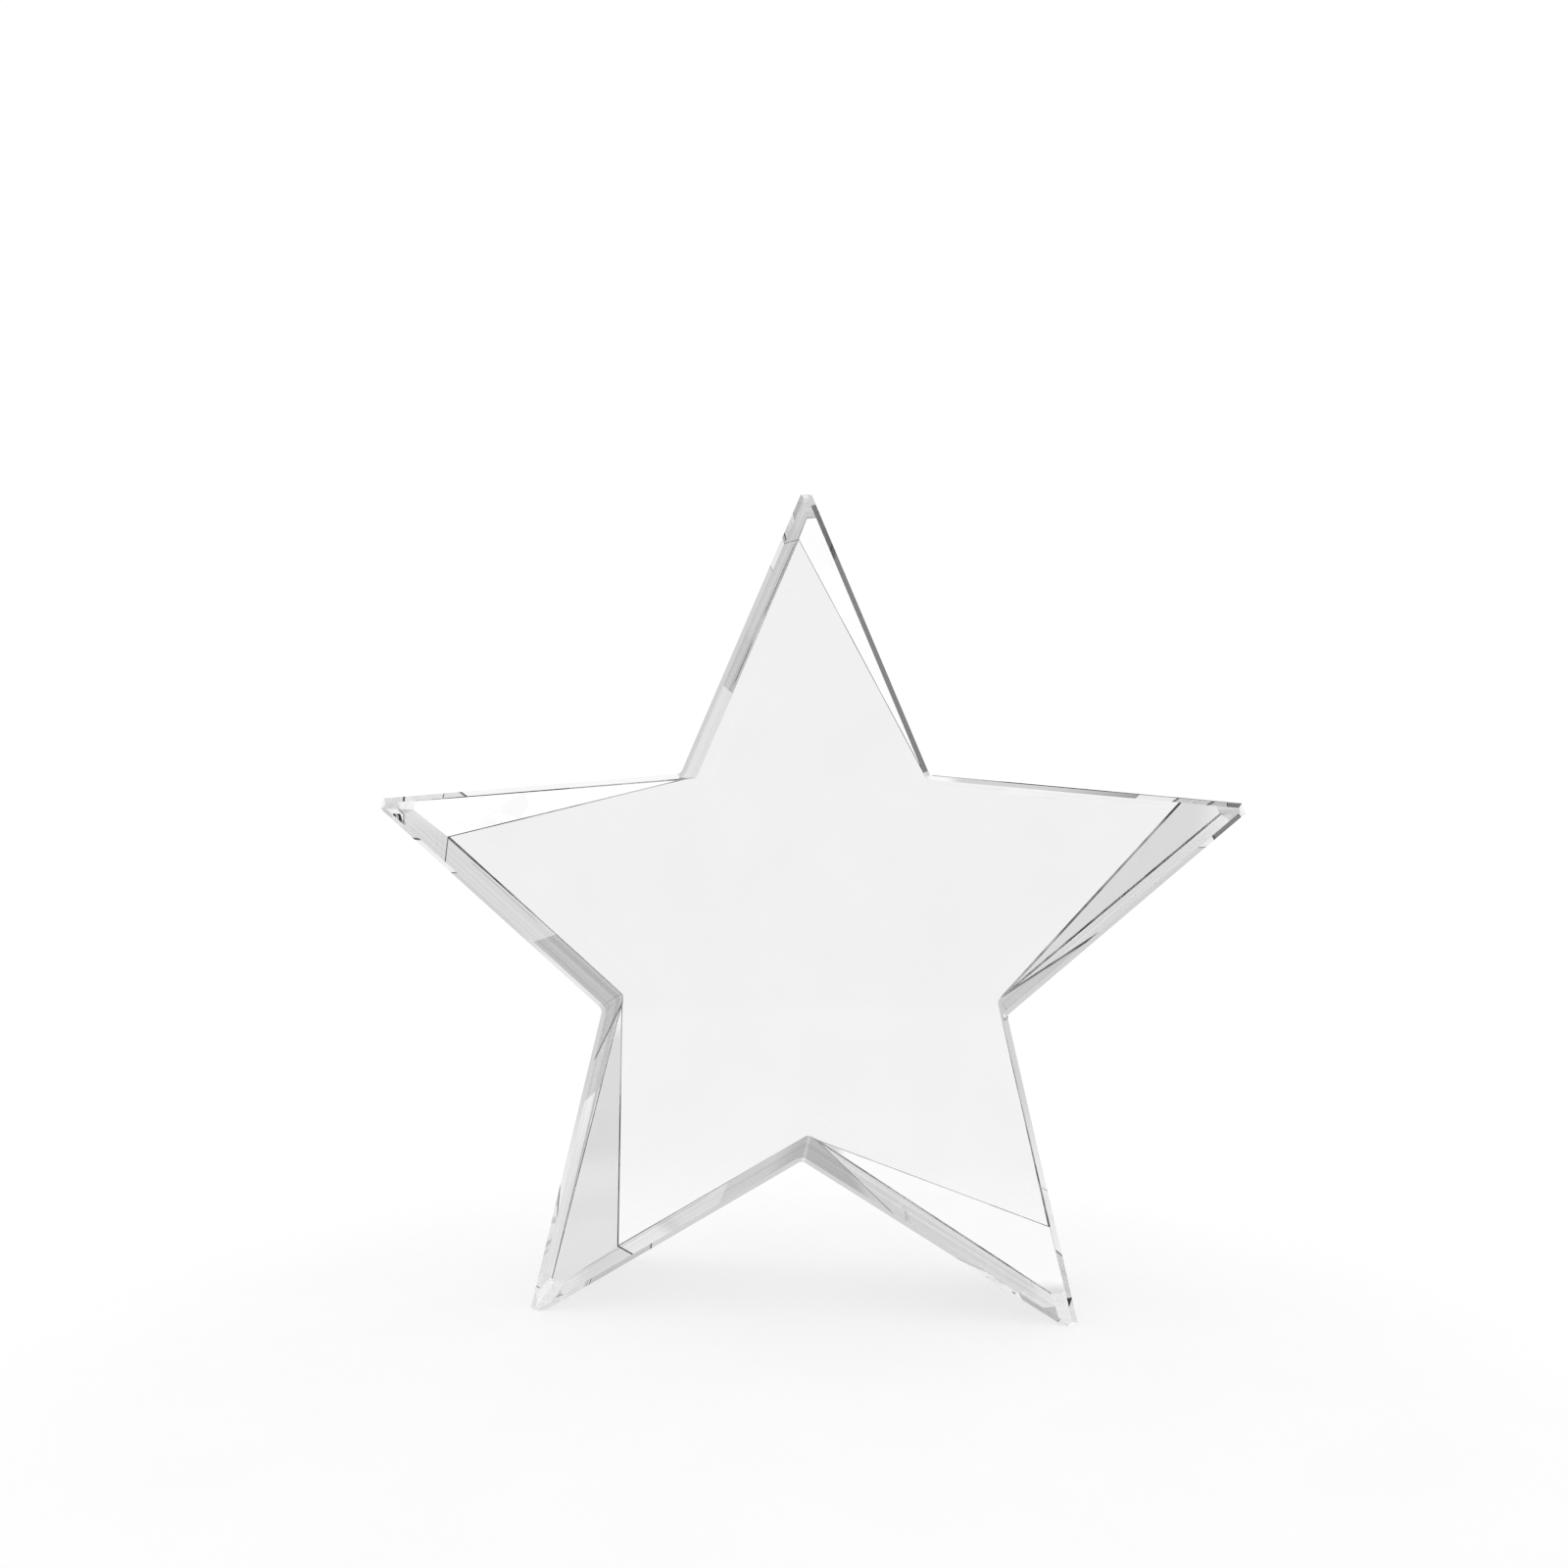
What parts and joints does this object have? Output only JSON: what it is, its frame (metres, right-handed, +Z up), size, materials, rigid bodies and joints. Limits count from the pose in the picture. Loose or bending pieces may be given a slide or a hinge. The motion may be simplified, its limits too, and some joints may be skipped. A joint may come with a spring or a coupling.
{
  "type": "star trophy",
  "caption": "Freestanding five-pointed star of solid clear crystal with a flat bevelled front and a facet on the back of each point.",
  "frame": {"origin": "on the table, midway between the two feet and midway through the thickness", "axes": "+Z up through the top point, flat front face towards -Y, thickness along Y"},
  "size_m": [0.104, 0.024, 0.0985],
  "materials": {
    "crystal": "polished clear optical crystal"
  },
  "bodies": {
    "root": {"crystal_star": "crystal"}
  },
  "joints": []
}
